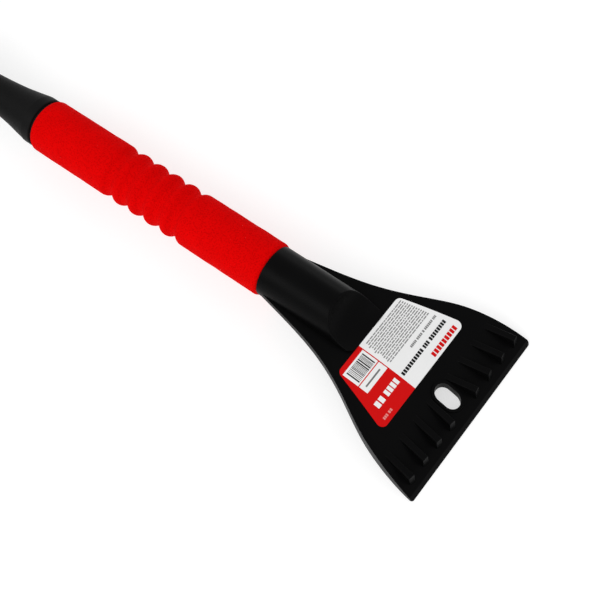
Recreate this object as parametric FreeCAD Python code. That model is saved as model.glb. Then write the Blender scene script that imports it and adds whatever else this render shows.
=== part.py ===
import FreeCAD, Part
import math
import os

# Snow brush with an ice scraper at one end and a foam grip in the middle.
# Working frame while building: X runs along the handle towards the blade, Z is up through
# the labelled side, and x = 0 is where the grip meets the scraper's neck. At the end every
# piece is moved so that the origin is under the middle of the tool, on the lowest plane.
# All sizes are millimetres and all angles are degrees.

V = FreeCAD.Vector

# ---------------------------------------------------------------- driving dimensions
# whole tool
overall_length = 500.0
# how far shapes that are fused or cut run past the place where they end
margin = 2.0

# handle tube and its fit in both heads
grip_length = 151.7
tube_diameter = 19.0
tube_wall = 1.2
spigot_clearance = 0.05
spigot_length = 35.0
spigot_wall = 2.2
head_bore_depth = 30.0
rivet_diameter = 4.0
rivet_setback = 17.0
rivet_end_gap = 0.1

# foam grip
grip_diameter = 29.3
grip_end_round = 2.2
groove_count = 5
groove_pitch = 10.6
groove_depth = 2.1

# scraper plate, a fan that curves down towards its blade
head_reach = 118.0
blade_width = 100.0
fan_tuck = 0.8
plate_rise = 0.7
plate_drop = 22.4
plate_start_slope = -0.063
plate_end_slope = -0.545
skin_thickness = 2.6
rim_width = 2.4
rim_depth_at_neck = 3.8
hollow_setback = 8.4
blade_thickness = 1.8
bevel_length = 1.7
blade_land = 0.4
corner_round = 1.4
# the fan's growth from neck to blade: share of the reach, and share of the widening
fan_shape = [(0, 0), (0.19, 0.12), (0.38, 0.275), (0.55, 0.51), (0.712, 0.772), (0.805, 0.875), (1, 1)]
# the rim's lower edge between its ends: share of the reach, and height over the nearer end
rim_bend_near_neck = (0.51, -1.4)
rim_bend_near_blade = (0.745, 3.1)

# ice-breaking ribs, set back from the blade's edge
rib_count_per_side = 4
rib_first_y = 10.3
rib_spacing = 10.95
rib_width = 3.2
rib_setback = 5.2
rib_length = 16.0
rib_end_lean = 0.8
rib_splay = 9.6
rib_edge_round = 0.4
rib_buried_length = 4.0

# hanging slot, set back from the blade's edge
slot_setback = 14.8
slot_length = 13.4
slot_width = 9.0
slot_ring_width = 1.4
slot_ring_height = 0.8
slot_ring_depth = 1.4

# label, between the ribs and the thumb cove
label_setback = 28.5
label_length = 32.6
label_near_margin = 3.95
label_far_margin = 9.24
label_offset_y = 0.4
label_corner = 3.0
label_thickness = 0.2

# scraper neck and thumb cove, set back from the label
neck_diameter = 27.2
neck_corner = 4.0
neck_to_label_gap = 0.1
cove_length = 17.4
cove_gap = 0.5
cove_bow = 2.0
cove_edge_round = 0.7
underside_slope_length = 23.0

# underside webs that stiffen the plate
web_thickness = 2.0
web_spread = 28.0
web_depth = 1.6

# brush head: a collar, a taper down to a waist, and a block for the bristles
collar_diameter = 27.4
collar_length = 6.5
collar_groove_length = 1.4
collar_groove_depth = 1.1
collar_shoulder_round = 0.9
waist_diameter = 17.6
waist_setback = 46.0
waist_overlap = 7.0
waist_tuck = 0.5
waist_step = 0.02
block_setback = 66.0
block_width = 31.0
block_thickness = 15.5
block_end_length = 12.0
# the exponent of the block's superellipse sections; 2 is a circle
round_section = 2.0
block_section = 4.5
section_points = 32
# share of the taper's length, and share of its drop in radius
taper_shape = [(0, 0), (0.13, 0.19), (0.26, 0.38), (0.39, 0.55), (0.52, 0.68), (0.75, 0.86), (1, 1)]
# share of the way into the block's blunt end, and share of the width that is left
block_end_shape = [(0.5, 0.93), (0.83, 0.78), (1, 0.55)]
# shares of the block's length where a full section stands, and of its swell out of the waist
block_stations = (0.3, 0.65, 1.0)
swell_stations = (0.0, 0.2, 0.4, 0.6, 0.8, 1.0)

# bristles
row_count = 4
row_margin = 5.15
row_fan = 6.0
tuft_pitch = 8.2
tuft_end_margin = 7.0
tuft_hole_diameter = 4.2
tuft_hole_depth = 9.0
tuft_length = 52.0
tuft_clearance = 0.1
tuft_straight_rise = 0.5
tuft_tip_diameter = 6.4
staple_height = 1.0
staple_thickness = 0.6

# ---------------------------------------------------------------- worked-out values
tube_radius = tube_diameter / 2
tube_bore_radius = tube_radius - tube_wall
spigot_radius = tube_bore_radius - spigot_clearance
neck_radius = neck_diameter / 2
grip_radius = grip_diameter / 2
grip_end_x = -grip_length
half_blade = blade_width / 2
tip_x = head_reach - overall_length
rib_end_x = head_reach - rib_setback
rib_start_x = rib_end_x - rib_length
slot_center_x = head_reach - slot_setback
label_far_x = head_reach - label_setback
label_near_x = label_far_x - label_length
neck_end_x = label_near_x - neck_to_label_gap
neck_under_x = neck_end_x - underside_slope_length
cove_meets_plate_x = label_near_x - cove_gap
cove_crest_x = cove_meets_plate_x - cove_length
hollow_end_x = head_reach - hollow_setback
row_spacing = (block_width - 2 * row_margin) / (row_count - 1)
far_below = -3 * neck_diameter
far_above = 2 * neck_diameter


# ---------------------------------------------------------------- small builders
def edge(a, b):
    return Part.LineSegment(a, b).toShape()


def arc(a, middle, b):
    return Part.Arc(a, middle, b).toShape()


def bezier(*poles):
    curve = Part.BezierCurve()
    curve.setPoles(list(poles))
    return curve.toShape()


def spline(points):
    curve = Part.BSplineCurve()
    curve.interpolate(points)
    return curve.toShape()


def face_of(edges):
    return Part.Face(Part.Wire(Part.sortEdges(edges)[0]))


def across_y(edges, half_width):
    """A prism of an XZ profile, from -half_width to +half_width along Y."""
    prism = face_of(edges).extrude(V(0, 2 * half_width, 0))
    prism.translate(V(0, -half_width, 0))
    return prism


def along_z(edges, low, high):
    """A prism of an XY outline, from low to high along Z."""
    prism = face_of(edges).extrude(V(0, 0, high - low))
    prism.translate(V(0, 0, low))
    return prism


def turned(profile_edges):
    """A solid of revolution about the handle's axis."""
    return face_of(profile_edges).revolve(V(0, 0, 0), V(1, 0, 0), 360)


def rod(start_x, end_x, radius):
    return Part.makeCylinder(radius, end_x - start_x, V(start_x, 0, 0), V(1, 0, 0))


def one_solid(shape):
    """The shape as a single clean solid, with merged faces."""
    clean = shape.removeSplitter()
    solids = clean.Solids
    if len(solids) != 1:
        raise ValueError("expected one solid and found %d" % len(solids))
    return solids[0]


# ---------------------------------------------------------------- plate surfaces
def plate_cubic():
    """The slope, square and cube terms of the plate's height, over x / head_reach."""
    start = plate_start_slope * head_reach
    end = plate_end_slope * head_reach
    square = -3 * plate_drop - 2 * start - end
    cube = 2 * plate_drop + start + end
    return start, square, cube


def plate_top_z(x):
    """Height of the plate's upper surface, a cubic from the neck to the blade."""
    start, square, cube = plate_cubic()
    u = x / head_reach
    return plate_rise + start * u + square * u ** 2 + cube * u ** 3


def plate_top_slope(x):
    start, square, cube = plate_cubic()
    u = x / head_reach
    return (start + 2 * square * u + 3 * cube * u ** 2) / head_reach


def top_curve(start_x, end_x, lift):
    """The upper surface's profile between two x, lifted; four poles give the cubic."""
    third = (end_x - start_x) / 3
    start_z = plate_top_z(start_x) + lift
    end_z = plate_top_z(end_x) + lift
    leaving = V(start_x + third, 0, start_z + plate_top_slope(start_x) * third)
    arriving = V(end_x - third, 0, end_z - plate_top_slope(end_x) * third)
    return bezier(V(start_x, 0, start_z), leaving, arriving, V(end_x, 0, end_z))


def slab(start_x, end_x, low_lift, high_lift, half_width):
    """A curved slab that follows the plate, between two heights over its top."""
    low = top_curve(start_x, end_x, low_lift)
    high = top_curve(start_x, end_x, high_lift)
    sides = []
    for x in (start_x, end_x):
        z = plate_top_z(x)
        sides.append(edge(V(x, 0, z + low_lift), V(x, 0, z + high_lift)))
    return across_y([low, sides[0], high, sides[1]], half_width)


def above_plate(start_x, end_x, lift, half_width):
    """Everything over the plate's lifted surface, between two x."""
    start = V(start_x, 0, plate_top_z(start_x) + lift)
    end = V(end_x, 0, plate_top_z(end_x) + lift)
    sides = [
        edge(start, V(start_x, 0, far_above)),
        edge(V(start_x, 0, far_above), V(end_x, 0, far_above)),
        edge(V(end_x, 0, far_above), end),
    ]
    return across_y([top_curve(start_x, end_x, lift)] + sides, half_width)


def fan_point(share, growth):
    """A point of the fan's half outline."""
    start = neck_radius - fan_tuck
    return V(share * head_reach, start + (half_blade - start) * growth, 0)


def fan_half_width(x):
    """Half the fan's width at some x, read along the straight chords of its outline."""
    for (share_a, growth_a), (share_b, growth_b) in zip(fan_shape, fan_shape[1:]):
        a = fan_point(share_a, growth_a)
        b = fan_point(share_b, growth_b)
        if x <= b.x:
            return a.y + (b.y - a.y) * (x - a.x) / (b.x - a.x)
    return half_blade


def outline(inset):
    """The fan's outline in plan: a hollow flank, a round shoulder and a run to the blade."""
    half = [fan_point(share, growth) - V(0, inset, 0) for share, growth in fan_shape]
    other = [V(p.x, -p.y, 0) for p in half]
    return [
        spline(half),
        spline(other),
        edge(half[0], other[0]),
        edge(half[-1], other[-1]),
    ]


# ---------------------------------------------------------------- scraper head
def fan_plate():
    """The curved fan with its deeper rim, hollow underside and bevelled blade."""
    blade_top = V(head_reach - bevel_length, 0, plate_top_z(head_reach - bevel_length))
    blade_z = plate_top_z(head_reach)
    land_top = V(head_reach, 0, blade_z - blade_thickness + blade_land)
    land_low = V(head_reach, 0, blade_z - blade_thickness)
    neck_low = V(0, 0, plate_rise - rim_depth_at_neck)
    rim = bezier(
        neck_low,
        V(rim_bend_near_neck[0] * head_reach, 0, neck_low.z + rim_bend_near_neck[1]),
        V(rim_bend_near_blade[0] * head_reach, 0, land_low.z + rim_bend_near_blade[1]),
        land_low,
    )
    profile = [
        top_curve(0, blade_top.x, 0),
        edge(blade_top, land_top),
        edge(land_top, land_low),
        rim,
        edge(neck_low, V(0, 0, plate_rise)),
    ]
    body = across_y(profile, blade_width)
    fan = along_z(outline(0), far_below, far_above)
    corners = [e for e in fan.Edges if is_blade_corner(e)]
    plate = fan.makeFillet(corner_round, corners).common(body)
    hollow = along_z(outline(rim_width), far_below, far_above)
    under_skin = slab(cove_crest_x, hollow_end_x, far_below, -skin_thickness, blade_width)
    return plate.cut(hollow.common(under_skin))


def is_blade_corner(candidate):
    box = candidate.BoundBox
    upright = box.ZLength > far_above and box.XLength < 0.01
    return upright and box.XMax > head_reach - 0.01


def neck():
    """The round neck, with rounded corners in plan, a thumb cove and a sloping underside."""
    barrel = rod(0, neck_end_x + margin, neck_radius)
    bend_x = neck_end_x - neck_corner
    bend_y = neck_radius - neck_corner
    turn = neck_corner * math.sqrt(0.5)
    plan = [
        edge(V(0, neck_radius, 0), V(bend_x, neck_radius, 0)),
        arc(V(bend_x, neck_radius, 0), V(bend_x + turn, bend_y + turn, 0), V(neck_end_x, bend_y, 0)),
        edge(V(neck_end_x, bend_y, 0), V(neck_end_x, -bend_y, 0)),
        arc(V(neck_end_x, -bend_y, 0), V(bend_x + turn, -bend_y - turn, 0), V(bend_x, -neck_radius, 0)),
        edge(V(bend_x, -neck_radius, 0), V(0, -neck_radius, 0)),
        edge(V(0, -neck_radius, 0), V(0, neck_radius, 0)),
    ]
    rounded = barrel.common(along_z(plan, far_below, far_above))
    low = -neck_radius - margin
    side = [
        V(-margin, 0, low),
        V(neck_under_x, 0, low),
        V(neck_end_x + margin, 0, plate_top_z(neck_end_x) - skin_thickness / 2),
        V(neck_end_x + margin, 0, -low),
        V(-margin, 0, -low),
    ]
    side_edges = [edge(a, b) for a, b in zip(side, side[1:] + side[:1])]
    return rounded.common(across_y(side_edges, blade_width)).cut(cove())


def cove():
    """A barrel lying across the neck, whose belly scoops out the place for a thumb.
    Its circle passes through the crest and meets the plate at a tangent."""
    touch = V(cove_meets_plate_x, 0, plate_top_z(cove_meets_plate_x))
    slope = math.atan(plate_top_slope(cove_meets_plate_x))
    normal = V(-math.sin(slope), 0, math.cos(slope))
    crest = V(cove_crest_x, 0, neck_radius)
    gap = crest - touch
    radius = gap.dot(gap) / (2 * gap.dot(normal))
    center = touch + normal * radius
    # the belly's outline bows in by cove_bow at the neck's two sides
    reach = neck_radius + 2 * margin
    bow = cove_bow * (reach / neck_radius) ** 2
    side_a = V(center.x, -reach, center.z - radius + bow)
    side_b = V(center.x, reach, center.z - radius + bow)
    belly = V(center.x, 0, center.z - radius)
    axis_a = V(center.x, -reach, center.z)
    axis_b = V(center.x, reach, center.z)
    profile = [arc(side_a, belly, side_b), edge(side_b, axis_b), edge(axis_b, axis_a), edge(axis_a, side_a)]
    return face_of(profile).revolve(center, V(0, 1, 0), 360)


def rib(side, number):
    """One wedge: its top is level, so it stands taller as the plate falls away."""
    top_z = plate_top_z(rib_start_x)
    base_z = plate_top_z(rib_end_x) - skin_thickness / 2
    back_x = rib_start_x - rib_buried_length
    corners = [
        V(back_x, 0, top_z),
        V(rib_end_x, 0, top_z),
        V(rib_end_x + rib_end_lean, 0, base_z),
        V(back_x, 0, base_z),
    ]
    sides = [edge(a, b) for a, b in zip(corners, corners[1:] + corners[:1])]
    wedge = across_y(sides, rib_width / 2)
    top_edges = [e for e in wedge.Edges if e.BoundBox.ZMin > top_z - 0.01]
    wedge = wedge.makeFillet(rib_edge_round, top_edges)
    y = side * (rib_first_y + number * rib_spacing)
    wedge.rotate(V(rib_end_x, 0, 0), V(0, 0, 1), side * rib_splay)
    wedge.translate(V(0, y, 0))
    return wedge.common(above_plate(back_x - margin, head_reach, -skin_thickness / 2, blade_width))


def stadium(grow):
    """The slot's outline in plan, grown all round."""
    radius = slot_width / 2 + grow
    straight = (slot_length - slot_width) / 2
    left = slot_center_x - straight
    right = slot_center_x + straight
    return [
        edge(V(left, radius, 0), V(right, radius, 0)),
        arc(V(right, radius, 0), V(right + radius, 0, 0), V(right, -radius, 0)),
        edge(V(right, -radius, 0), V(left, -radius, 0)),
        arc(V(left, -radius, 0), V(left - radius, 0, 0), V(left, radius, 0)),
    ]


def slot_wall():
    """A collar round the slot, raised over the plate and as deep as the rim below it."""
    collar = along_z(stadium(slot_ring_width), far_below, far_above)
    low = -skin_thickness - slot_ring_depth
    high = slot_ring_height
    return collar.common(slab(label_far_x - margin, head_reach - margin, low, high, blade_width))


def webs():
    """Two straight webs under the plate, from the neck out to the shoulders."""
    shapes = []
    for side in (-1, 1):
        start = V(cove_crest_x, side * web_thickness, 0)
        end = V(label_far_x + 2 * rim_width, side * web_spread, 0)
        along = end - start
        across = V(-along.y, along.x, 0).normalize() * (web_thickness / 2)
        corners = [start + across, end + across, end - across, start - across]
        edges = [edge(a, b) for a, b in zip(corners, corners[1:] + corners[:1])]
        shapes.append(along_z(edges, far_below, far_above))
    low = -skin_thickness - web_depth
    band = slab(cove_crest_x - margin, hollow_end_x, low, -skin_thickness / 2, blade_width)
    return [shape.common(band) for shape in shapes]


def spigot(face_x, direction):
    """A peg that fills the tube's bore from a head's face, and the bore that hollows both."""
    tip_end = face_x + direction * spigot_length
    root = sorted([face_x - direction * margin, tip_end])
    hollow = sorted([face_x - direction * head_bore_depth, tip_end])
    peg = rod(root[0], root[1], spigot_radius)
    return peg, rod(hollow[0], hollow[1], spigot_radius - spigot_wall)


def scraper_head():
    body = fan_plate().fuse([neck(), slot_wall()] + webs())
    body = soften_cove(one_solid(body))
    ribs = [rib(side, n) for side in (-1, 1) for n in range(rib_count_per_side)]
    peg, bore = spigot(0, -1)
    body = body.fuse(ribs + [peg])
    slot = along_z(stadium(0), far_below, far_above)
    return one_solid(body.cut([slot, bore, rivet(-rivet_setback)]))


def soften_cove(shape):
    """Rounds the cove's rim where it leaves the neck's round side."""
    rim = []
    for candidate in shape.Edges:
        box = candidate.BoundBox
        high = box.ZMax > neck_radius - cove_bow
        inside = box.XMin > cove_crest_x - margin and box.XMax < neck_end_x
        if high and inside:
            rim.append(candidate)
    return shape.makeFillet(cove_edge_round, rim)


# ---------------------------------------------------------------- handle
def rivet(x):
    """A cross pin through tube and spigot, flush inside the tube's skin."""
    reach = math.sqrt(tube_radius ** 2 - (rivet_diameter / 2) ** 2) - rivet_end_gap
    return Part.makeCylinder(rivet_diameter / 2, 2 * reach, V(x, 0, -reach), V(0, 0, 1))


def rivet_xs():
    return {"head_rivet": -rivet_setback, "brush_rivet": grip_end_x + rivet_setback}


def handle_tube():
    tube = rod(grip_end_x, 0, tube_radius).cut(rod(grip_end_x, 0, tube_bore_radius))
    through = [
        Part.makeCylinder(rivet_diameter / 2, 2 * tube_diameter, V(x, 0, -tube_diameter), V(0, 0, 1))
        for x in rivet_xs().values()
    ]
    return one_solid(tube.cut(through))


def foam_grip():
    """A sleeve whose middle has grooves and ridges made of equal, tangent arcs."""
    middle_x = grip_end_x / 2
    quarter = groove_pitch / 4
    low = grip_radius - groove_depth
    half_way = grip_radius - groove_depth / 2
    bend = (quarter ** 2 + (groove_depth / 2) ** 2) / groove_depth
    shoulder_turn = math.asin(quarter / bend) / 2

    def shoulder(x, direction):
        """A quarter ridge from the last groove up to the plain foam."""
        flat = V(x + direction * quarter, grip_radius, 0)
        middle = V(
            flat.x - direction * bend * math.sin(shoulder_turn),
            grip_radius - bend * (1 - math.cos(shoulder_turn)),
            0,
        )
        return arc(V(x, half_way, 0), middle, flat), flat

    first = middle_x - (groove_count - 1) / 2 * groove_pitch
    grooves = [first + n * groove_pitch for n in range(groove_count)]
    left_arc, left_flat = shoulder(grooves[0] - quarter, -1)
    right_arc, right_flat = shoulder(grooves[-1] + quarter, 1)
    edges = [left_arc, right_arc]
    for n, x in enumerate(grooves):
        edges.append(arc(V(x - quarter, half_way, 0), V(x, low, 0), V(x + quarter, half_way, 0)))
        if n < groove_count - 1:
            ridge = x + groove_pitch / 2
            start = V(ridge - quarter, half_way, 0)
            end = V(ridge + quarter, half_way, 0)
            edges.append(arc(start, V(ridge, grip_radius, 0), end))
    r = grip_end_round
    turn = r * (1 - math.sqrt(0.5))
    for end_x, direction, flat in ((grip_end_x, 1, left_flat), (0, -1, right_flat)):
        top = V(end_x + direction * r, grip_radius, 0)
        side = V(end_x, grip_radius - r, 0)
        edges.append(edge(flat, top))
        edges.append(arc(top, V(end_x + direction * turn, grip_radius - turn, 0), side))
        edges.append(edge(side, V(end_x, tube_radius, 0)))
    edges.append(edge(V(grip_end_x, tube_radius, 0), V(0, tube_radius, 0)))
    return one_solid(turned(edges))


# ---------------------------------------------------------------- label
def product_label():
    """A sticker with rounded corners that follows the plate's curve."""
    near = fan_half_width(label_near_x) - label_near_margin
    far = fan_half_width(label_far_x) - label_far_margin
    corners = [
        V(label_near_x, label_offset_y + near, 0),
        V(label_far_x, label_offset_y + far, 0),
        V(label_far_x, label_offset_y - far, 0),
        V(label_near_x, label_offset_y - near, 0),
    ]
    edges = [edge(a, b) for a, b in zip(corners, corners[1:] + corners[:1])]
    blank = along_z(edges, far_below, far_above)
    upright = [e for e in blank.Edges if e.BoundBox.ZLength > far_above]
    blank = blank.makeFillet(label_corner, upright)
    band = slab(label_near_x - margin, label_far_x + margin, 0, label_thickness, blade_width)
    return one_solid(blank.common(band))


# ---------------------------------------------------------------- brush head
def brush_collar():
    """A shallow groove behind the grip, the round collar, and its long taper down to the waist."""
    collar_r = collar_diameter / 2
    waist_r = waist_diameter / 2
    groove_r = collar_r - collar_groove_depth
    start = grip_end_x
    shoulder_x = start - collar_groove_length
    bend = collar_shoulder_round
    half_turn = bend * (1 - math.sqrt(0.5))
    turn = V(shoulder_x - half_turn, collar_r - half_turn, 0)
    taper_length = waist_setback - collar_length
    points = []
    for along, fall in taper_shape:
        x = start - collar_length - along * taper_length
        points.append(V(x, collar_r - fall * (collar_r - waist_r), 0))
    edges = [
        spline(points),
        edge(points[-1], V(points[-1].x, 0, 0)),
        edge(V(points[-1].x, 0, 0), V(start, 0, 0)),
        edge(V(start, 0, 0), V(start, groove_r, 0)),
        edge(V(start, groove_r, 0), V(shoulder_x, groove_r, 0)),
        edge(V(shoulder_x, groove_r, 0), V(shoulder_x, collar_r - bend, 0)),
        arc(V(shoulder_x, collar_r - bend, 0), turn, V(shoulder_x - bend, collar_r, 0)),
        edge(V(shoulder_x - bend, collar_r, 0), points[0]),
    ]
    return turned(edges)


def section(x, half_thickness, half_width, exponent):
    """A closed superellipse across the brush head, from a circle to a rounded box."""
    points = []
    for n in range(section_points):
        angle = 2 * math.pi * (n + 0.5) / section_points
        c, s = math.cos(angle), math.sin(angle)
        y = math.copysign(abs(c) ** (2 / exponent), c) * half_thickness
        z = math.copysign(abs(s) ** (2 / exponent), s) * half_width
        points.append(V(x, y, z))
    curve = Part.BSplineCurve()
    curve.interpolate(Points=points, PeriodicFlag=True)
    return Part.Wire(curve.toShape())


def brush_block():
    """The bristle block, lofted from the round waist to a rounded box and a blunt end."""
    waist_x = grip_end_x - waist_setback
    block_x = grip_end_x - block_setback
    half_t = block_thickness / 2
    half_w = block_width / 2
    inner = waist_diameter / 2 - waist_tuck
    outer = waist_diameter / 2 - waist_step
    wires = [section(waist_x + waist_overlap, inner, inner, round_section)]
    for share in swell_stations:
        blend = share * share * (3 - 2 * share)
        x = waist_x + (block_x - waist_x) * share
        thick = outer + (half_t - outer) * blend
        wide = outer + (half_w - outer) * blend
        wires.append(section(x, thick, wide, round_section + (block_section - round_section) * blend))
    plain = block_x - tip_x - block_end_length
    for share in block_stations:
        wires.append(section(block_x - share * plain, half_t, half_w, block_section))
    for share, keep in block_end_shape:
        x = tip_x + block_end_length * (1 - share)
        wires.append(section(x, half_t * (1 + keep) / 2, half_w * keep, block_section))
    return Part.makeLoft(wires, True, False)


def tuft_places(row):
    """The x of each tuft in a row; every other row is shifted by half a pitch."""
    start = grip_end_x - block_setback - tuft_end_margin
    end = tip_x + tuft_end_margin
    shift = tuft_pitch / 2 if row % 2 else 0
    count = int((start - end - shift) / tuft_pitch) + 1
    return [start - shift - n * tuft_pitch for n in range(count)]


def row_place(row):
    """How many rows a row stands from the middle of the block, below it or above it."""
    return row - (row_count - 1) / 2


def tuft_parts(row, x):
    """The hole, the bristle tuft and the staple of one place in a row."""
    lean = row_place(row) * row_fan
    out = V(0, -math.cos(math.radians(lean)), math.sin(math.radians(lean)))
    mouth = V(x, -block_thickness / 2, row_place(row) * row_spacing)
    floor = mouth - out * tuft_hole_depth
    hole = Part.makeCylinder(tuft_hole_diameter / 2, tuft_hole_depth + margin, floor, out)
    root = floor + out * staple_height
    root_radius = tuft_hole_diameter / 2 - tuft_clearance
    straight = tuft_hole_depth - staple_height + tuft_straight_rise
    shank = Part.makeCylinder(root_radius, straight, root, out)
    flared = tuft_length - tuft_straight_rise
    flare = Part.makeCone(root_radius, tuft_tip_diameter / 2, flared, root + out * straight, out)
    width = 2 * math.sqrt(root_radius ** 2 - staple_thickness ** 2)
    staple = Part.makeBox(width, staple_height, staple_thickness)
    staple.translate(V(-width / 2, 0, -staple_thickness / 2))
    staple.rotate(V(0, 0, 0), V(1, 0, 0), 180 - lean)
    staple.translate(floor)
    return hole, one_solid(shank.fuse(flare)), staple


def brush_pieces():
    """The brush head with its holes, and one group of tufts and of staples for each row."""
    holes = []
    pieces = {}
    for row in range(row_count):
        tufts = []
        staples = []
        for x in tuft_places(row):
            hole, tuft, staple = tuft_parts(row, x)
            holes.append(hole)
            tufts.append(tuft)
            staples.append(staple)
        pieces["bristle_row_%d" % (row + 1)] = Part.Compound(tufts)
        pieces["staple_row_%d" % (row + 1)] = Part.Compound(staples)
    peg, bore = spigot(grip_end_x, 1)
    body = brush_collar().fuse([brush_block(), peg])
    body = body.cut([bore, rivet(grip_end_x + rivet_setback)])
    pieces["brush_head"] = one_solid(body.cut(holes))
    return pieces


# ---------------------------------------------------------------- assembly
def build():
    pieces = {
        "scraper_head": scraper_head(),
        "product_label": product_label(),
        "foam_grip": foam_grip(),
        "handle_tube": handle_tube(),
    }
    for name, x in rivet_xs().items():
        pieces[name] = rivet(x)
    pieces.update(brush_pieces())
    return pieces


def main():
    os.makedirs("parts", exist_ok=True)
    pieces = build()
    box = Part.Compound(list(pieces.values())).optimalBoundingBox(True, False)
    move = V(-(box.XMin + box.XMax) / 2, -(box.YMin + box.YMax) / 2, -box.ZMin)
    print("moved by", move)
    for name, shape in pieces.items():
        shape.translate(move)
        shape.exportStep("parts/%s.step" % name)


main()
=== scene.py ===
"""Looks of a snow brush with an ice scraper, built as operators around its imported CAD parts."""

import math

import bpy
import numpy as np
from bpy.props import FloatProperty, FloatVectorProperty, IntProperty, PointerProperty
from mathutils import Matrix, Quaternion, Vector, noise
from mathutils.bvhtree import BVHTree


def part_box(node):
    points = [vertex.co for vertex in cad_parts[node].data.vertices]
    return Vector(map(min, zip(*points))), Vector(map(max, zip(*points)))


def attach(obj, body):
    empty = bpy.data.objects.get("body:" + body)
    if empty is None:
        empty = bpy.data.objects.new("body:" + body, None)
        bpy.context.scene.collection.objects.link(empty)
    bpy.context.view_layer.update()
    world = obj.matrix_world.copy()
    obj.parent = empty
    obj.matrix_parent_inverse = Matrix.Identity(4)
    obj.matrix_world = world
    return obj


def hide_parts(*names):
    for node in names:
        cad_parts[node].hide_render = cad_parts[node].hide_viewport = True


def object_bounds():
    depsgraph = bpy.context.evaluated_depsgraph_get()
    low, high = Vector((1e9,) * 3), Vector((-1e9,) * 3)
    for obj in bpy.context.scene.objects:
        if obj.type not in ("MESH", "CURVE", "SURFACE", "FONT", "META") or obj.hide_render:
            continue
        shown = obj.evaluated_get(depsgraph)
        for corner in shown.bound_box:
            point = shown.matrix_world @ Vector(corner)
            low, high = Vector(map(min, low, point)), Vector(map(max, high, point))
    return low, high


bl_info = {
    "name": "Snow Brush Looks",
    "version": (1, 0, 0),
    "blender": (4, 5, 0),
    "location": "View3D > Sidebar > Snow Brush",
    "description": "Foam, bristles, label print, finishes and studio for a snow brush with an ice scraper",
    "category": "Object",
}

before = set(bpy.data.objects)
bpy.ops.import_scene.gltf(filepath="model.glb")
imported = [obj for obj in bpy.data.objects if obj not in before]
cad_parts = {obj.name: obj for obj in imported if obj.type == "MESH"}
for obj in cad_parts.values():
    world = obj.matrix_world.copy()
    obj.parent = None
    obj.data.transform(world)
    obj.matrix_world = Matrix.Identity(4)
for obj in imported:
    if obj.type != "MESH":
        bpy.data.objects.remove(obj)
cad_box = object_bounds()

MM = 0.001
BODY = "root"
ROWS = sorted(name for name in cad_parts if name.startswith("bristle_row_"))
STAPLES = sorted(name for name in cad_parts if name.startswith("staple_row_"))

grip_low, grip_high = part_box("foam_grip")
AXIS_Y = (grip_low.y + grip_high.y) / 2
AXIS_Z = (grip_low.z + grip_high.z) / 2
NECK_FACE = Vector((grip_high.x, AXIS_Y, AXIS_Z))
label_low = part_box("product_label")[0]
LABEL_NEAR = label_low.x
BLADE_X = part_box("scraper_head")[1].x

# Where the label's print lies, in millimetres. The first two numbers are measured from the label's
# near edge towards the blade, and the last two from the handle's axis.
WHITE_BOX = (2.6, 17.0, -7.8, -23.8)
BOX_DIVIDER = (11.6, 12.1, -7.8, -23.8)
BOX_LINE = (14.2, 15.0, -10.5, -21.6)
STRIPES = (3.6, 10.9, -9.2, -22.4)
MAKER_LINE = (28.6, 31.2, 30.2, 10.8)
TITLE_LINE = (23.3, 25.3, 29.2, -6.2)
SUBTITLE_LINE = (18.9, 20.1, 28.4, 7.6)
SIZE_LINE = (22.2, 25.4, -9.4, -27.0)
PALE_LINE = (29.2, 30.5, -22.4, -29.0)

# The small print: its first line's near edge and start, how far the lines' places move over all of
# them, and where they end.
SMALL_NEAR = 1.9
SMALL_START = 24.2
SMALL_DEPTH = 15.2
SMALL_DRIFT = 3.4
SMALL_END = -4.4
SMALL_HEIGHT = 0.55
SMALL_GAP = 0.4


# ---------------------------------------------------------------- settings
class CameraSettings(bpy.types.PropertyGroup):
    """Where the camera stands, round a point near the front end of the grip."""

    azimuth: FloatProperty(
        name="Azimuth",
        description="Angle round the tool, from the bristle side towards the blade",
        default=math.radians(44.276),
        subtype="ANGLE",
    )
    elevation: FloatProperty(
        name="Elevation",
        description="Angle above the floor",
        default=math.radians(62.374),
        subtype="ANGLE",
    )
    roll: FloatProperty(
        name="Roll",
        description="Turn about the line of sight",
        default=math.radians(-7.744),
        subtype="ANGLE",
    )
    distance: FloatProperty(
        name="Distance",
        description="From the camera to the point that it looks at",
        default=0.58435,
        unit="LENGTH",
    )
    ahead: FloatProperty(
        name="Ahead",
        description="How far in front of the grip's end the camera looks",
        default=0.02035,
        unit="LENGTH",
    )
    aside: FloatProperty(
        name="Aside",
        description="How far beside the handle's axis the camera looks",
        default=-0.0052,
        unit="LENGTH",
    )
    lens: FloatProperty(
        name="Focal Length",
        description="Focal length of the lens, in millimetres",
        default=72.67,
        unit="CAMERA",
    )


class StageSettings(bpy.types.PropertyGroup):
    """Floor, surroundings and studio lights."""

    floor_size: FloatProperty(
        name="Floor Size", description="Width of the floor", default=40.0, unit="LENGTH"
    )
    floor_color: FloatVectorProperty(
        name="Floor Colour",
        description="Colour of the floor",
        default=(0.5, 0.5, 0.5),
        subtype="COLOR",
    )
    floor_glow: FloatProperty(
        name="Floor Glow",
        description="Light that the floor gives off, as a lit table does",
        default=0.6,
    )
    surroundings: FloatProperty(
        name="Surroundings",
        description="Strength of the even light from all round",
        default=0.66,
    )
    key_power: FloatProperty(
        name="Key Light", description="Power of the overhead softbox", default=4.0, unit="POWER"
    )
    side_power: FloatProperty(
        name="Side Light",
        description="Power of the softbox on the bristle side",
        default=4.0,
        unit="POWER",
    )
    back_power: FloatProperty(
        name="Back Light",
        description="Power of the softbox on the far side",
        default=2.0,
        unit="POWER",
    )


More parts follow.
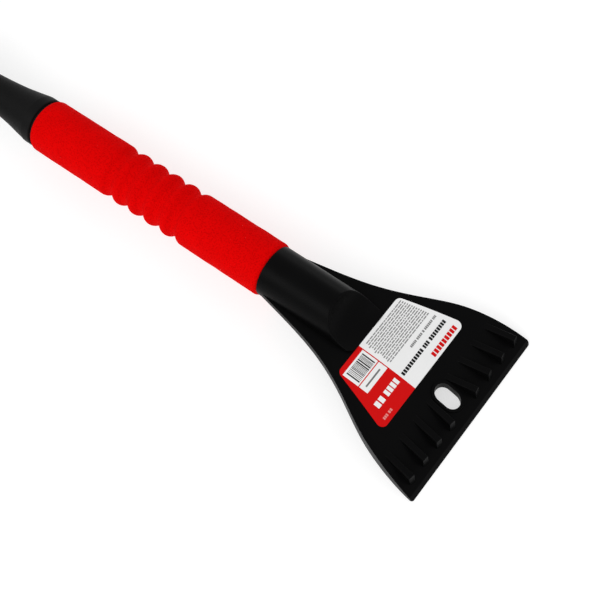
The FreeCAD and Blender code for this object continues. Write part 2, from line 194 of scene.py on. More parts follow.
class ScraperSettings(bpy.types.PropertyGroup):
    """Finish of the moulded scraper head."""

    color: FloatVectorProperty(
        name="Plastic Colour",
        description="Colour of the scraper's plastic",
        default=(0.0018, 0.0018, 0.0019),
        subtype="COLOR",
    )
    roughness: FloatProperty(
        name="Roughness",
        description="How dull the moulded skin is",
        default=0.36,
        subtype="FACTOR",
    )
    gloss: FloatProperty(
        name="Gloss",
        description="How strongly the moulded skin mirrors its surroundings",
        default=0.045,
        subtype="FACTOR",
    )
    scuff_length: FloatProperty(
        name="Scuffed Length",
        description="How far back from the blade's edge fine scratches reach",
        default=0.014,
        unit="LENGTH",
    )


class LabelSettings(bpy.types.PropertyGroup):
    """Sizes and inks of the sticker's blank print."""

    vinyl_color: FloatVectorProperty(
        name="Vinyl Colour",
        description="Colour of the sticker's bare vinyl",
        default=(0.83, 0.83, 0.83),
        subtype="COLOR",
    )
    red_color: FloatVectorProperty(
        name="Red Ink",
        description="Colour of the red panel",
        default=(0.61, 0.0006, 0.0008),
        subtype="COLOR",
    )
    panel_edge: FloatProperty(
        name="Panel Edge",
        description="How far beside the handle's axis the red panel begins",
        default=0.0072,
        unit="LENGTH",
    )
    ink_lift: FloatProperty(
        name="Ink Lift",
        description="Height of the ink over the vinyl",
        default=0.00004,
        unit="LENGTH",
    )
    small_line_count: IntProperty(
        name="Small Lines", description="Number of thin grey lines of blank text", default=13
    )
    stripe_count: IntProperty(
        name="Stripes", description="Number of bars in the striped box", default=17
    )


class GripSettings(bpy.types.PropertyGroup):
    """Shape and finish of the foam grip."""

    color: FloatVectorProperty(
        name="Foam Colour",
        description="Colour of the foam",
        default=(0.61, 0.0005, 0.0006),
        subtype="COLOR",
    )
    ring_pitch: FloatProperty(
        name="Ring Pitch",
        description="Distance between the mesh's rings along the grip",
        default=0.0004,
        unit="LENGTH",
    )
    ring_points: IntProperty(
        name="Ring Points", description="Number of points round each ring", default=200
    )
    softness: FloatProperty(
        name="Softness",
        description="Depth of the slow unevenness of soft foam",
        default=0.00016,
        unit="LENGTH",
    )
    skin_depth: FloatProperty(
        name="Skin Depth",
        description="Depth of the fine unevenness of the foam's cut skin",
        default=0.00005,
        unit="LENGTH",
    )


class HandleSettings(bpy.types.PropertyGroup):
    """Finish of the tube and its cross pins."""

    enamel_color: FloatVectorProperty(
        name="Enamel Colour",
        description="Colour of the tube's enamel",
        default=(0.012, 0.012, 0.013),
        subtype="COLOR",
    )
    pin_color: FloatVectorProperty(
        name="Pin Colour",
        description="Colour of the pins' bare metal",
        default=(0.62, 0.62, 0.63),
        subtype="COLOR",
    )


class BrushSettings(bpy.types.PropertyGroup):
    """Finish of the brush head and its wire anchors."""

    color: FloatVectorProperty(
        name="Plastic Colour",
        description="Colour of the brush head's plastic",
        default=(0.0055, 0.0055, 0.0056),
        subtype="COLOR",
    )
    roughness: FloatProperty(
        name="Roughness",
        description="How dull the brush head's skin is",
        default=0.52,
        subtype="FACTOR",
    )
    gloss: FloatProperty(
        name="Gloss",
        description="How strongly the skin mirrors its surroundings",
        default=0.06,
        subtype="FACTOR",
    )
    wire_color: FloatVectorProperty(
        name="Wire Colour",
        description="Colour of the anchors' flat wire",
        default=(0.55, 0.54, 0.52),
        subtype="COLOR",
    )


class BristleSettings(bpy.types.PropertyGroup):
    """Number, thickness and finish of the filaments."""

    color: FloatVectorProperty(
        name="Filament Colour",
        description="Colour of the filaments",
        default=(0.008, 0.008, 0.0088),
        subtype="COLOR",
    )
    per_tuft: IntProperty(
        name="Filaments", description="Number of filaments in each tuft", default=34
    )
    thickness: FloatProperty(
        name="Thickness",
        description="Diameter of a filament",
        default=0.00046,
        unit="LENGTH",
    )
    unevenness: FloatProperty(
        name="Unevenness",
        description="How much the filaments' lengths differ",
        default=0.0012,
        unit="LENGTH",
    )
    bend: FloatProperty(
        name="Bend",
        description="How far a filament bows sideways in its middle",
        default=0.00035,
        unit="LENGTH",
    )
    stray: FloatProperty(
        name="Stray",
        description="How far a filament's tip strays sideways",
        default=0.00022,
        unit="LENGTH",
    )
    seed: IntProperty(name="Seed", description="Seed of the filaments' places", default=7)


# ---------------------------------------------------------------- shader building
def node(tree, kind, inputs=None, **attributes):
    """Adds a shader node. An input that is given a socket is linked to it."""
    made = tree.nodes.new(kind)
    for name, value in attributes.items():
        setattr(made, name, value)
    for name, value in (inputs or {}).items():
        if isinstance(value, bpy.types.NodeSocket):
            tree.links.new(value, made.inputs[name])
        else:
            made.inputs[name].default_value = value
    return made


def math_node(tree, operation, *values, clamp=False):
    made = node(tree, "ShaderNodeMath", dict(enumerate(values)), operation=operation, use_clamp=clamp)
    return made.outputs[0]


def remap(tree, value, from_low, from_high, to_low, to_high):
    inputs = {
        "Value": value,
        "From Min": from_low,
        "From Max": from_high,
        "To Min": to_low,
        "To Max": to_high,
    }
    return node(tree, "ShaderNodeMapRange", inputs).outputs["Result"]


def tint(tree, share, first, second):
    """A colour that goes from the first to the second as share goes from 0 to 1."""
    inputs = {0: share, 6: first, 7: second}
    return node(tree, "ShaderNodeMix", inputs, data_type="RGBA").outputs[2]


def opaque(color, factor=1.0):
    return tuple(min(1.0, channel * factor) for channel in color) + (1.0,)


def new_group(name, inputs, outputs):
    """A shader node group with number inputs and outputs, and its two end nodes."""
    tree = bpy.data.node_groups.new(name, "ShaderNodeTree")
    for label, default in inputs:
        socket = tree.interface.new_socket(name=label, in_out="INPUT", socket_type="NodeSocketFloat")
        socket.default_value = default
    for label in outputs:
        tree.interface.new_socket(name=label, in_out="OUTPUT", socket_type="NodeSocketFloat")
    return tree, tree.nodes.new("NodeGroupInput"), tree.nodes.new("NodeGroupOutput")


def grain_group():
    """Fine grain of a moulded or cut surface, and a slow drift of tone across it."""
    inputs = [("Grain Size", 0.0004), ("Drift Size", 0.02)]
    tree, source, result = new_group("surface_grain", inputs, ["Grain", "Drift"])
    place = node(tree, "ShaderNodeTexCoord").outputs["Object"]
    grain_scale = math_node(tree, "DIVIDE", 1.0, source.outputs["Grain Size"])
    drift_scale = math_node(tree, "DIVIDE", 1.0, source.outputs["Drift Size"])
    fine = node(
        tree,
        "ShaderNodeTexNoise",
        {"Vector": place, "Scale": grain_scale, "Detail": 3.0, "Roughness": 0.55},
    )
    slow = node(
        tree,
        "ShaderNodeTexNoise",
        {"Vector": place, "Scale": drift_scale, "Detail": 2.0, "Roughness": 0.5},
    )
    tree.links.new(fine.outputs["Fac"], result.inputs["Grain"])
    tree.links.new(slow.outputs["Fac"], result.inputs["Drift"])
    return tree


def scratch_group():
    """Fine scratches that run along the tool, as a mask."""
    inputs = [("Width", 0.0002), ("Length", 0.02), ("Coverage", 0.3)]
    tree, source, result = new_group("fine_scratches", inputs, ["Scratches"])
    place = node(tree, "ShaderNodeTexCoord").outputs["Object"]
    along = math_node(tree, "DIVIDE", 1.0, source.outputs["Length"])
    across = math_node(tree, "DIVIDE", 1.0, source.outputs["Width"])
    stretch = node(tree, "ShaderNodeCombineXYZ", {"X": along, "Y": across, "Z": across})
    scaled = node(
        tree,
        "ShaderNodeVectorMath",
        {0: place, 1: stretch.outputs["Vector"]},
        operation="MULTIPLY",
    )
    streaks = node(
        tree,
        "ShaderNodeTexNoise",
        {"Vector": scaled.outputs["Vector"], "Scale": 1.0, "Detail": 2.0},
    )
    bare_threshold = 0.82
    full_drop = 0.4
    edge_sharpness = 12.0
    drop = math_node(tree, "MULTIPLY", source.outputs["Coverage"], full_drop)
    threshold = math_node(tree, "SUBTRACT", bare_threshold, drop)
    above = math_node(tree, "SUBTRACT", streaks.outputs["Fac"], threshold)
    mask = math_node(tree, "MULTIPLY", above, edge_sharpness, clamp=True)
    tree.links.new(mask, result.inputs["Scratches"])
    return tree


def shared_group(name):
    """A node group from its name, built the first time that it is asked for."""
    makers = {"surface_grain": grain_group, "fine_scratches": scratch_group}
    return bpy.data.node_groups.get(name) or makers[name]()


def place_group(tree, name, inputs):
    made = tree.nodes.new("ShaderNodeGroup")
    made.node_tree = shared_group(name)
    for label, value in inputs.items():
        made.inputs[label].default_value = value
    return made


def new_material(name, constants):
    """A material whose Principled shader has these constants on its own sockets."""
    material = bpy.data.materials.new(name)
    material.use_nodes = True
    shader = material.node_tree.nodes["Principled BSDF"]
    for label, value in constants.items():
        shader.inputs[label].default_value = value
    return material, material.node_tree, shader


def bump(tree, shader, height, distance, strength=1.0):
    made = node(tree, "ShaderNodeBump", {"Height": height, "Distance": distance, "Strength": strength})
    tree.links.new(made.outputs["Normal"], shader.inputs["Normal"])


def moulded_plastic(name, color, roughness, gloss, grain_size, relief, scratch_coverage, worn_length=None):
    """Injection-moulded plastic: spark-eroded grain, uneven dullness and fine scratches.
    With a worn length, the scratches are strongest at the blade and weaken behind it."""
    material, tree, shader = new_material(name, {"IOR": 1.49, "Specular IOR Level": gloss})
    grain = place_group(tree, "surface_grain", {"Grain Size": grain_size, "Drift Size": 0.018})
    scratches = place_group(
        tree, "fine_scratches", {"Width": 0.00016, "Length": 0.016, "Coverage": scratch_coverage}
    )
    mark = scratches.outputs["Scratches"]
    if worn_length:
        place = node(tree, "ShaderNodeTexCoord").outputs["Object"]
        x = node(tree, "ShaderNodeSeparateXYZ", {"Vector": place}).outputs["X"]
        near_edge = remap(tree, x, BLADE_X - worn_length, BLADE_X, 0.25, 1.0)
        mark = math_node(tree, "MULTIPLY", mark, near_edge)
    tone = tint(tree, grain.outputs["Drift"], opaque(color, 0.85), opaque(color, 1.2))
    tone = tint(tree, math_node(tree, "MULTIPLY", mark, 0.5), tone, opaque(color, 3.0))
    tree.links.new(tone, shader.inputs["Base Color"])
    dull = remap(tree, grain.outputs["Drift"], 0.3, 0.7, roughness - 0.03, roughness + 0.05)
    dull = math_node(tree, "ADD", dull, math_node(tree, "MULTIPLY", mark, 0.12), clamp=True)
    tree.links.new(dull, shader.inputs["Roughness"])
    bump(tree, shader, grain.outputs["Grain"], relief)
    return material


def foam_material(settings):
    """Soft closed-cell foam: burst cells in its cut skin, and a very dull red, mottled by noise and painted
    darker in the cells' pits as painted shade.
    """
    material, tree, shader = new_material("red_grip_foam", {"Specular IOR Level": 0.02})
    grain = place_group(tree, "surface_grain", {"Grain Size": 0.0009, "Drift Size": 0.009})
    place = node(tree, "ShaderNodeTexCoord").outputs["Object"]
    cells = node(tree, "ShaderNodeTexVoronoi", {"Vector": place, "Scale": 1150.0, "Randomness": 1.0})
    pits = remap(tree, cells.outputs["Distance"], 0.0, 0.55, 0.0, 1.0)
    pitted_height = math_node(tree, "MULTIPLY", grain.outputs["Grain"], pits)
    # The red is painted darker where the bump sinks the cell pits. This is painted shade, mixed with random
    # mottling.
    speckle_and_pit_shade = remap(tree, pitted_height, 0.16, 0.42, 0.0, 1.0)
    pit_shaded_red = tint(tree, speckle_and_pit_shade, opaque(settings.color, 0.84), opaque(settings.color, 1.14))
    drift = remap(tree, grain.outputs["Drift"], 0.3, 0.7, 0.0, 0.25)
    tone = tint(tree, drift, pit_shaded_red, opaque(settings.color, 0.86))
    tree.links.new(tone, shader.inputs["Base Color"])
    dull = remap(tree, speckle_and_pit_shade, 0.0, 1.0, 0.98, 0.86)
    tree.links.new(dull, shader.inputs["Roughness"])
    bump(tree, shader, pitted_height, 0.0003)
    return material


def vinyl_material(settings):
    """The sticker's vinyl, with its red printed end and a faint pressed grain."""
    material, tree, shader = new_material("label_vinyl", {"Specular IOR Level": 0.12})
    grain = place_group(tree, "surface_grain", {"Grain Size": 0.0005, "Drift Size": 0.012})
    place = node(tree, "ShaderNodeTexCoord").outputs["Object"]
    y = node(tree, "ShaderNodeSeparateXYZ", {"Vector": place}).outputs["Y"]
    in_panel = math_node(tree, "LESS_THAN", y, AXIS_Y - settings.panel_edge)
    white = tint(
        tree, grain.outputs["Drift"], opaque(settings.vinyl_color, 0.97), opaque(settings.vinyl_color, 1.02)
    )
    red = tint(
        tree, grain.outputs["Grain"], opaque(settings.red_color, 0.94), opaque(settings.red_color, 1.05)
    )
    tree.links.new(tint(tree, in_panel, white, red), shader.inputs["Base Color"])
    dull = remap(tree, grain.outputs["Drift"], 0.3, 0.7, 0.4, 0.5)
    tree.links.new(dull, shader.inputs["Roughness"])
    bump(tree, shader, grain.outputs["Grain"], 0.00001)
    return material


def ink_material(name, color):
    """Screen-printed ink, a little uneven in cover."""
    material, tree, shader = new_material(name, {"Specular IOR Level": 0.12})
    grain = place_group(tree, "surface_grain", {"Grain Size": 0.0003, "Drift Size": 0.006})
    tone = tint(tree, grain.outputs["Grain"], opaque(color, 0.9), opaque(color, 1.1))
    tree.links.new(tone, shader.inputs["Base Color"])
    dull = remap(tree, grain.outputs["Drift"], 0.3, 0.7, 0.42, 0.55)
    tree.links.new(dull, shader.inputs["Roughness"])
    return material


def metal_material(name, color, metallic, roughness, coverage):
    """Drawn or enamelled metal, with die lines along the piece."""
    material, tree, shader = new_material(name, {"Metallic": metallic})
    grain = place_group(tree, "surface_grain", {"Grain Size": 0.0006, "Drift Size": 0.01})
    lines = place_group(tree, "fine_scratches", {"Width": 0.0001, "Length": 0.03, "Coverage": coverage})
    tone = tint(tree, lines.outputs["Scratches"], opaque(color), opaque(color, 0.8))
    tree.links.new(tone, shader.inputs["Base Color"])
    dull = remap(tree, grain.outputs["Drift"], 0.3, 0.7, roughness, roughness + 0.12)
    tree.links.new(dull, shader.inputs["Roughness"])
    bump(tree, shader, grain.outputs["Grain"], 0.00002)
    return material


def filament_material(settings):
    """Nylon filaments, dark at the root and paler where the tips are cut."""
    material, tree, shader = new_material("black_nylon", {"IOR": 1.53, "Specular IOR Level": 0.3})
    grain = place_group(tree, "surface_grain", {"Grain Size": 0.0012, "Drift Size": 0.012})
    place = node(tree, "ShaderNodeTexCoord").outputs["Object"]
    y = node(tree, "ShaderNodeSeparateXYZ", {"Vector": place}).outputs["Y"]
    tip_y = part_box(ROWS[0])[0].y
    tips = remap(tree, y, tip_y + 0.004, tip_y, 0.0, 0.6)
    tone = tint(tree, grain.outputs["Grain"], opaque(settings.color, 0.7), opaque(settings.color, 1.5))
    tone = tint(tree, tips, tone, opaque(settings.color, 3.0))
    tree.links.new(tone, shader.inputs["Base Color"])
    dull = remap(tree, grain.outputs["Drift"], 0.3, 0.7, 0.3, 0.42)
    tree.links.new(dull, shader.inputs["Roughness"])
    return material


def dress(name, material):
    """Gives a CAD node its finish."""
    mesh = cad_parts[name].data
    mesh.materials.clear()
    mesh.materials.append(material)


# ---------------------------------------------------------------- mesh building
def new_piece(name, vertices, faces, material):
    """A mesh piece that rides on the tool and takes its finish from a material slot."""
    mesh = bpy.data.meshes.new(name)
    mesh.from_pydata(vertices, [], faces)
    mesh.materials.append(material)
    mesh.validate()
    mesh.update()
    piece = bpy.data.objects.new(name, mesh)
    bpy.context.scene.collection.objects.link(piece)
    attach(piece, BODY)
    return piece


def smooth(piece):
    piece.data.polygons.foreach_set("use_smooth", [True] * len(piece.data.polygons))


def grid_faces(first, rows, columns, closed):
    """The quads between rows of points; a closed grid joins its last column to its first."""
    faces = []
    spans = columns if closed else columns - 1
    for row in range(rows - 1):
        for column in range(spans):
            a = first + row * columns + column
            b = first + row * columns + (column + 1) % columns
            faces.append((a, b, b + columns, a + columns))
    return faces


def foam_profile(pitch):
    """Points (x, radius) along the foam's outside, and the radius of its bore.
    They are read from the CAD sleeve's rings, with a smooth curve between the rings."""
    same_ring = 0.02 * MM
    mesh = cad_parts["foam_grip"].data
    bore = min(math.hypot(v.co.y - AXIS_Y, v.co.z - AXIS_Z) for v in mesh.vertices)
    rings = {}
    for vertex in mesh.vertices:
        radius = math.hypot(vertex.co.y - AXIS_Y, vertex.co.z - AXIS_Z)
        key = round(vertex.co.x / same_ring)
        rings[key] = max(radius, rings.get(key, 0.0))
    known = sorted((key * same_ring, radius) for key, radius in rings.items() if radius > bore + 1 * MM)
    xs = np.array([x for x, radius in known])
    radii = np.array([radius for x, radius in known])
    steps = np.diff(radii) / np.diff(xs)
    slopes = np.zeros(len(xs))
    for n in range(1, len(xs) - 1):
        before = steps[n - 1]
        after = steps[n]
        if before * after > 0:
            slopes[n] = 2 * before * after / (before + after)
    count = round((xs[-1] - xs[0]) / pitch) + 1
    profile = []
    for x in np.linspace(xs[0], xs[-1], count):
        n = min(max(int(np.searchsorted(xs, x)) - 1, 0), len(xs) - 2)
        span = xs[n + 1] - xs[n]
        t = (x - xs[n]) / span
        start = radii[n] * (1 + 2 * t) * (1 - t) ** 2 + slopes[n] * span * t * (1 - t) ** 2
        end = radii[n + 1] * t * t * (3 - 2 * t) + slopes[n + 1] * span * t * t * (t - 1)
        profile.append((x, start + end))
    return profile, bore


# ---------------------------------------------------------------- operators
class SNOWBRUSH_OT_camera(bpy.types.Operator):
    """Set up the camera that looks down on the grip and the scraper"""

    bl_idname = "snowbrush.camera"
    bl_label = "Camera"

    def execute(self, context):
        settings = context.scene.snow_brush_camera
        flat = math.cos(settings.elevation)
        back = Vector(
            (
                math.sin(settings.azimuth) * flat,
                -math.cos(settings.azimuth) * flat,
                math.sin(settings.elevation),
            )
        )
        camera = bpy.data.objects.new("studio_camera", bpy.data.cameras.new("studio_camera"))
        context.scene.collection.objects.link(camera)
        target = NECK_FACE + Vector((settings.ahead, settings.aside, 0))
        camera.location = target + back * settings.distance
        camera.rotation_mode = "QUATERNION"
        level = (-back).to_track_quat("-Z", "Y")
        camera.rotation_quaternion = Quaternion(back, settings.roll) @ level
        camera.data.lens = settings.lens
        camera.data.sensor_width = 36
        camera.data.clip_start = 0.01
        camera.data.clip_end = 50
        context.scene.camera = camera
        return {"FINISHED"}


class SNOWBRUSH_OT_stage(bpy.types.Operator):
    """Make the pale floor, the even surroundings and three softboxes"""

    bl_idname = "snowbrush.stage"
    bl_label = "Stage"

    def execute(self, context):
        settings = context.scene.snow_brush_stage
        self.make_floor(context, settings)
        self.make_surroundings(context, settings)
        middle = (cad_box[0] + cad_box[1]) / 2
        aim = Vector((middle.x + 0.06, middle.y, 0.02))
        softboxes = [
            ("key_softbox", (0.50, -0.60, 0.62), 1.35, (1.2, 1.0), settings.key_power),
            ("side_softbox", (-0.32, -0.65, 0.69), 1.10, (1.2, 0.5), settings.side_power),
            ("back_softbox", (-0.10, 0.93, 0.36), 1.20, (1.0, 0.4), settings.back_power),
        ]
        for name, direction, distance, size, power in softboxes:
            self.make_softbox(context, name, aim, Vector(direction).normalized() * distance, size, power)
        context.scene.view_settings.view_transform = "Standard"
        return {"FINISHED"}

    def make_floor(self, context, settings):
        half = settings.floor_size / 2
        mesh = bpy.data.meshes.new("studio_floor")
        corners = [(-half, -half, 0), (half, -half, 0), (half, half, 0), (-half, half, 0)]
        mesh.from_pydata(corners, [], [(0, 1, 2, 3)])
        material, tree, shader = new_material("pale_floor", {"Roughness": 0.9, "Specular IOR Level": 0.1})
        grain = place_group(tree, "surface_grain", {"Grain Size": 0.002, "Drift Size": 0.5})
        tone = tint(
            tree, grain.outputs["Drift"], opaque(settings.floor_color, 0.99), opaque(settings.floor_color)
        )
        tree.links.new(tone, shader.inputs["Base Color"])
        shader.inputs["Emission Color"].default_value = (1, 1, 1, 1)
        shader.inputs["Emission Strength"].default_value = settings.floor_glow
        mesh.materials.append(material)
        floor = bpy.data.objects.new("studio_floor", mesh)
        context.scene.collection.objects.link(floor)

    def make_surroundings(self, context, settings):
        world = bpy.data.worlds.new("studio_world")
        world.use_nodes = True
        background = world.node_tree.nodes["Background"]
        background.inputs["Color"].default_value = (1, 1, 1, 1)
        background.inputs["Strength"].default_value = settings.surroundings
        context.scene.world = world

    def make_softbox(self, context, name, aim, offset, size, power):
        light = bpy.data.lights.new(name, "AREA")
        light.shape = "RECTANGLE"
        light.size = size[0]
        light.size_y = size[1]
        light.energy = power
        softbox = bpy.data.objects.new(name, light)
        softbox.location = aim + offset
        softbox.rotation_mode = "QUATERNION"
        softbox.rotation_quaternion = (-offset).to_track_quat("-Z", "Y")
        context.scene.collection.objects.link(softbox)


class SNOWBRUSH_OT_scraper(bpy.types.Operator):
    """Finish the scraper head as satin black plastic, lightly scratched near its blade"""

    bl_idname = "snowbrush.scraper"
    bl_label = "Scraper Head"

    def execute(self, context):
        settings = context.scene.snow_brush_scraper
        plastic = moulded_plastic(
            "satin_black_plastic",
            settings.color,
            settings.roughness,
            settings.gloss,
            grain_size=0.0005,
            relief=0.000012,
            scratch_coverage=0.25,
            worn_length=settings.scuff_length,
        )
        dress("scraper_head", plastic)
        return {"FINISHED"}


class SNOWBRUSH_OT_label(bpy.types.Operator):
    """Print the sticker with blank bars, thin lines, a white box and stripes"""

    bl_idname = "snowbrush.label"
    bl_label = "Label"

    def execute(self, context):
        settings = context.scene.snow_brush_label
        dress("product_label", vinyl_material(settings))
        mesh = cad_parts["product_label"].data
        corners = [vertex.co.copy() for vertex in mesh.vertices]
        faces = [tuple(polygon.vertices) for polygon in mesh.polygons]
        self.vinyl = BVHTree.FromPolygons(corners, faces)
        self.lift = settings.ink_lift
        dark = (0.006, 0.006, 0.007)
        white = tuple(settings.vinyl_color)
        red = tuple(settings.red_color)
        self.print_bars("label_white_box", "white_box_ink", white, [WHITE_BOX], 1)
        self.print_bars("label_divider", "divider_ink", red, [BOX_DIVIDER], 2)
        self.print_bars("label_stripes", "stripe_ink", dark, self.stripes(settings.stripe_count), 2)
        self.print_bars("label_box_line", "box_line_ink", (0.16, 0.16, 0.16), [BOX_LINE], 2)
        self.print_bars("label_red_bar", "red_bar_ink", red, self.letters(MAKER_LINE, [1.0]), 1)
        title = self.letters(TITLE_LINE, [0.36, 0.12, 0.47])
        self.print_bars("label_title_bars", "title_ink", dark, title, 1)
        subtitle = self.letters(SUBTITLE_LINE, [0.12, 0.3, 0.06, 0.2, 0.22])
        self.print_bars("label_subtitle_bars", "subtitle_ink", (0.2, 0.2, 0.2), subtitle, 1)
        lines = self.small_lines(settings.small_line_count)
        self.print_bars("label_small_lines", "small_line_ink", (0.23, 0.23, 0.23), lines, 1)
        size = self.letters(SIZE_LINE, [0.56, 0.36])
        self.print_bars("label_size_bars", "size_bar_ink", white, size, 1)
        pale = self.letters(PALE_LINE, [0.4, 0.5])
        self.print_bars("label_pale_bars", "pale_bar_ink", (0.75, 0.25, 0.23), pale, 1)
        return {"FINISHED"}

    def stripes(self, count):
        """Bars of uneven width, side by side across the white box."""
        near, far, y, end = STRIPES
        chance = np.random.default_rng(3)
        widths = chance.choice([0.25, 0.4, 0.75], size=count)
        gaps = chance.choice([0.3, 0.4, 0.6], size=count)
        scale = (y - end) / float(np.sum(widths) + np.sum(gaps))
        bars = []
        for width, gap in zip(widths * scale, gaps * scale):
            bars.append((near, far, y, y - width))
            y -= width + gap
        return bars

    def letters(self, line, shares):
        """Blank blocks the size of letters. Each word takes its share of the line, with equal gaps."""
        near, far, start, end = line
        usual_pitch = 0.82 * (far - near)
        filled = 0.76
        gap = (1 - sum(shares)) / max(1, len(shares) - 1)
        blocks = []
        share = 0.0
        for length in shares:
            low = start + (end - start) * share
            high = start + (end - start) * (share + length)
            count = max(1, round((low - high) / usual_pitch))
            pitch = (high - low) / count
            for number in range(count):
                blocks.append((near, far, low + number * pitch, low + (number + filled) * pitch))
            share += length + gap
        return blocks

    def small_lines(self, count):
        """Thin lines of blank words of uneven length, which fill the near half of the white."""
        chance = np.random.default_rng(11)
        bars = []
        for number in range(count):
            near = SMALL_NEAR + number * SMALL_DEPTH / count
            y = SMALL_START + SMALL_DRIFT * number / count
            end = SMALL_END - chance.random() * 1.2
            while y > end + 1.0:
                length = 0.8 + 2.6 * float(chance.random())
                bars.append((near, near + SMALL_HEIGHT, y, max(y - length, end)))
                y -= length + SMALL_GAP
        return bars

    def print_bars(self, name, ink_name, color, bars, layer):
        """One thin sheet of ink for each bar, laid on the vinyl's curve in short steps."""
        step = 0.5
        vertices = []
        faces = []
        for near, far, start, end in bars:
            rows = max(2, round((far - near) / step) + 1)
            first = len(vertices)
            for row in range(rows):
                x = LABEL_NEAR + (near + (far - near) * row / (rows - 1)) * MM
                for y in (end, start):
                    vertices.append(self.on_vinyl(x, AXIS_Y + y * MM, layer))
            faces += grid_faces(first, rows, 2, closed=False)
        new_piece(name, vertices, faces, ink_material(ink_name, color))

    def on_vinyl(self, x, y, layer):
        hit = self.vinyl.ray_cast(Vector((x, y, 1.0)), Vector((0, 0, -1)))
        if hit[0] is None:
            raise RuntimeError("a printed bar runs off the label at %.4f, %.4f" % (x, y))
        return hit[0] + Vector((0, 0, self.lift * layer))


class SNOWBRUSH_OT_grip(bpy.types.Operator):
    """Build the soft foam sleeve, with its moulded grooves and its slightly uneven skin"""

    bl_idname = "snowbrush.grip"
    bl_label = "Foam Grip"

    def execute(self, context):
        settings = context.scene.snow_brush_grip
        profile, bore = foam_profile(settings.ring_pitch)
        points = settings.ring_points
        vertices = []
        for x, radius in profile:
            for n in range(points):
                angle = 2 * math.pi * n / points
                outward = Vector((0, math.cos(angle), math.sin(angle)))
                place = Vector((x, AXIS_Y, AXIS_Z)) + outward * radius
                vertices.append(place + outward * self.unevenness(place, settings))
        rings = len(profile)
        faces = grid_faces(0, rings, points, closed=True)
        for x in (profile[-1][0], profile[0][0]):
            for n in range(points):
                angle = 2 * math.pi * n / points
                vertices.append((x, AXIS_Y + math.cos(angle) * bore, AXIS_Z + math.sin(angle) * bore))
        faces += grid_faces((rings - 1) * points, 3, points, closed=True)
        start = (rings + 1) * points
        for n in range(points):
            following = (n + 1) % points
            faces.append((start + n, start + following, following, n))
        piece = new_piece("foam_sleeve", vertices, faces, foam_material(settings))
        smooth(piece)
        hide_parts("foam_grip")
        return {"FINISHED"}

    def unevenness(self, place, settings):
        """How far the foam's skin stands in at a place; it never stands out over the profile."""
        slow_waves = 130
        fine_waves = 1100
        most = 0.1 * MM
        slow = noise.noise(place * slow_waves) * settings.softness
        fine = noise.noise(place * fine_waves) * settings.skin_depth
        return min(slow + fine, most) - most


class SNOWBRUSH_OT_handle(bpy.types.Operator):
    """Finish the enamelled tube and its two cross pins"""

    bl_idname = "snowbrush.handle"
    bl_label = "Tube and Pins"

    def execute(self, context):
        settings = context.scene.snow_brush_handle
        dress("handle_tube", metal_material("black_enamel", settings.enamel_color, 0.0, 0.25, 0.1))
        pin = metal_material("drawn_aluminium", settings.pin_color, 1.0, 0.3, 0.4)
        for name in ("head_rivet", "brush_rivet"):
            dress(name, pin)
        return {"FINISHED"}


class SNOWBRUSH_OT_brush(bpy.types.Operator):
    """Finish the brush head as dull charcoal plastic, and its anchors as flat wire"""

    bl_idname = "snowbrush.brush"
    bl_label = "Brush Head"

    def execute(self, context):
        settings = context.scene.snow_brush_brush
        plastic = moulded_plastic(
            "dull_charcoal_plastic",
            settings.color,
            settings.roughness,
            settings.gloss,
            grain_size=0.0007,
            relief=0.00003,
            scratch_coverage=0.1,
        )
        dress("brush_head", plastic)
        wire = metal_material("flat_steel_wire", settings.wire_color, 1.0, 0.35, 0.3)
        for name in STAPLES:
            dress(name, wire)
        return {"FINISHED"}


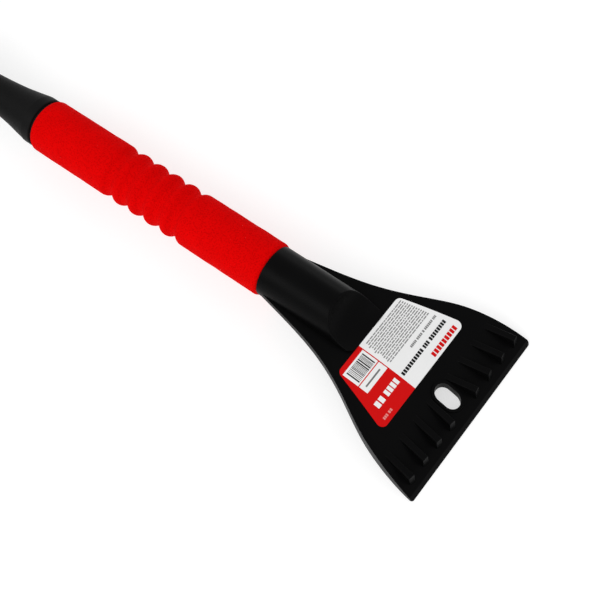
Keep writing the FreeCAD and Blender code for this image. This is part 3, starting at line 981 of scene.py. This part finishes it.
class SNOWBRUSH_OT_bristles(bpy.types.Operator):
    """Build every bristle row from separate filaments, tuft by tuft"""

    bl_idname = "snowbrush.bristles"
    bl_label = "Bristles"

    def execute(self, context):
        settings = context.scene.snow_brush_bristles
        chance = np.random.default_rng(settings.seed)
        nylon = filament_material(settings)
        for number, row in enumerate(ROWS):
            vertices = []
            faces = []
            for root, tip, root_radius, tip_radius in self.tufts(row):
                self.add_tuft(settings, chance, vertices, faces, root, tip, root_radius, tip_radius)
            name = "filaments_row_%d" % (number + 1)
            piece = new_piece(name, vertices, faces, nylon)
            smooth(piece)
            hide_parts(row)
        return {"FINISHED"}

    def tufts(self, row):
        """Each CAD tuft's two ends and their radii, told apart by the gaps along the row."""
        least_gap = 1.2 * MM
        places = sorted((vertex.co.copy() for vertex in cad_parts[row].data.vertices), key=lambda p: p.x)
        groups = [[places[0]]]
        for before, place in zip(places, places[1:]):
            if place.x - before.x > least_gap:
                groups.append([])
            groups[-1].append(place)
        found = []
        for group in groups:
            high = max(place.y for place in group)
            low = min(place.y for place in group)
            root, root_radius = self.disc([p for p in group if p.y > high - 1 * MM])
            tip, tip_radius = self.disc([p for p in group if p.y < low + 1.5 * MM])
            found.append((root, tip, root_radius, tip_radius))
        return found

    def disc(self, places):
        """The middle and the radius of a ring of points."""
        low = min(place.x for place in places)
        high = max(place.x for place in places)
        heights = [place.z for place in places]
        depths = [place.y for place in places]
        middle = Vector(((low + high) / 2, sum(depths) / len(depths), (min(heights) + max(heights)) / 2))
        return middle, (high - low) / 2

    def sideways(self, chance):
        """A random step across the filaments."""
        return Vector((float(chance.normal()), 0, float(chance.normal())))

    def add_tuft(self, settings, chance, vertices, faces, root, tip, root_radius, tip_radius):
        """Filaments in a sunflower pattern, which spread from the root to the tip."""
        along = tip - root
        side_a = Vector((1, 0, 0))
        side_b = along.normalized().cross(side_a).normalized()
        thick = settings.thickness / 2
        held = 0.14
        stations = (0.0, held, 0.3, 0.47, 0.64, 0.8, 0.93, 1.0)
        count = settings.per_tuft
        sides = 5
        golden_angle = math.pi * (3 - math.sqrt(5))
        turn = float(chance.random()) * math.tau
        for n in range(count):
            share = math.sqrt((n + 0.5) / count)
            angle = turn + n * golden_angle
            reach_root = share * (root_radius - thick)
            reach_tip = share * (tip_radius - 3 * thick)
            bend = self.sideways(chance) * settings.bend
            stray = self.sideways(chance) * settings.stray
            shorter = float(chance.random()) * settings.unevenness / along.length
            first = len(vertices)
            for station in stations:
                at = station * (1 - shorter)
                free = max(0.0, (at - held) / (1 - held))
                reach = reach_root + (reach_tip - reach_root) * free
                middle = root + along * at
                middle += side_a * (math.cos(angle) * reach) + side_b * (math.sin(angle) * reach)
                middle += bend * math.sin(math.pi * free) + stray * free
                width = thick * (1.0 if station < 0.9 else 1.0 - 5 * (station - 0.9))
                for corner in range(sides):
                    swing = corner * math.tau / sides
                    vertices.append(middle + (side_a * math.cos(swing) + side_b * math.sin(swing)) * width)
            faces += grid_faces(first, len(stations), sides, closed=True)
            last = first + (len(stations) - 1) * sides
            faces.append(tuple(range(first + sides - 1, first - 1, -1)))
            faces.append(tuple(range(last, last + sides)))


# ---------------------------------------------------------------- panel and main
STEPS = (
    SNOWBRUSH_OT_camera,
    SNOWBRUSH_OT_stage,
    SNOWBRUSH_OT_scraper,
    SNOWBRUSH_OT_label,
    SNOWBRUSH_OT_grip,
    SNOWBRUSH_OT_handle,
    SNOWBRUSH_OT_brush,
    SNOWBRUSH_OT_bristles,
)

SETTINGS = {
    "snow_brush_camera": CameraSettings,
    "snow_brush_stage": StageSettings,
    "snow_brush_scraper": ScraperSettings,
    "snow_brush_label": LabelSettings,
    "snow_brush_grip": GripSettings,
    "snow_brush_handle": HandleSettings,
    "snow_brush_brush": BrushSettings,
    "snow_brush_bristles": BristleSettings,
}


class SNOWBRUSH_PT_panel(bpy.types.Panel):
    """Lists the steps of the snow brush with their settings"""

    bl_label = "Snow Brush"
    bl_idname = "SNOWBRUSH_PT_panel"
    bl_space_type = "VIEW_3D"
    bl_region_type = "UI"
    bl_category = "Snow Brush"

    def draw(self, context):
        for step, name in zip(STEPS, SETTINGS):
            box = self.layout.box()
            box.operator(step.bl_idname)
            settings = getattr(context.scene, name)
            for key in settings.__annotations__:
                box.prop(settings, key)


def register():
    for name, group in SETTINGS.items():
        bpy.utils.register_class(group)
        setattr(bpy.types.Scene, name, PointerProperty(type=group))
    for step in STEPS:
        bpy.utils.register_class(step)
    bpy.utils.register_class(SNOWBRUSH_PT_panel)


def unregister():
    bpy.utils.unregister_class(SNOWBRUSH_PT_panel)
    for step in reversed(STEPS):
        bpy.utils.unregister_class(step)
    for name, group in SETTINGS.items():
        delattr(bpy.types.Scene, name)
        bpy.utils.unregister_class(group)


def main():
    register()
    bpy.ops.snowbrush.camera()
    bpy.ops.snowbrush.stage()
    bpy.ops.snowbrush.scraper()
    bpy.ops.snowbrush.label()
    bpy.ops.snowbrush.grip()
    bpy.ops.snowbrush.handle()
    bpy.ops.snowbrush.brush()
    bpy.ops.snowbrush.bristles()


if __name__ == "__main__":
    main()
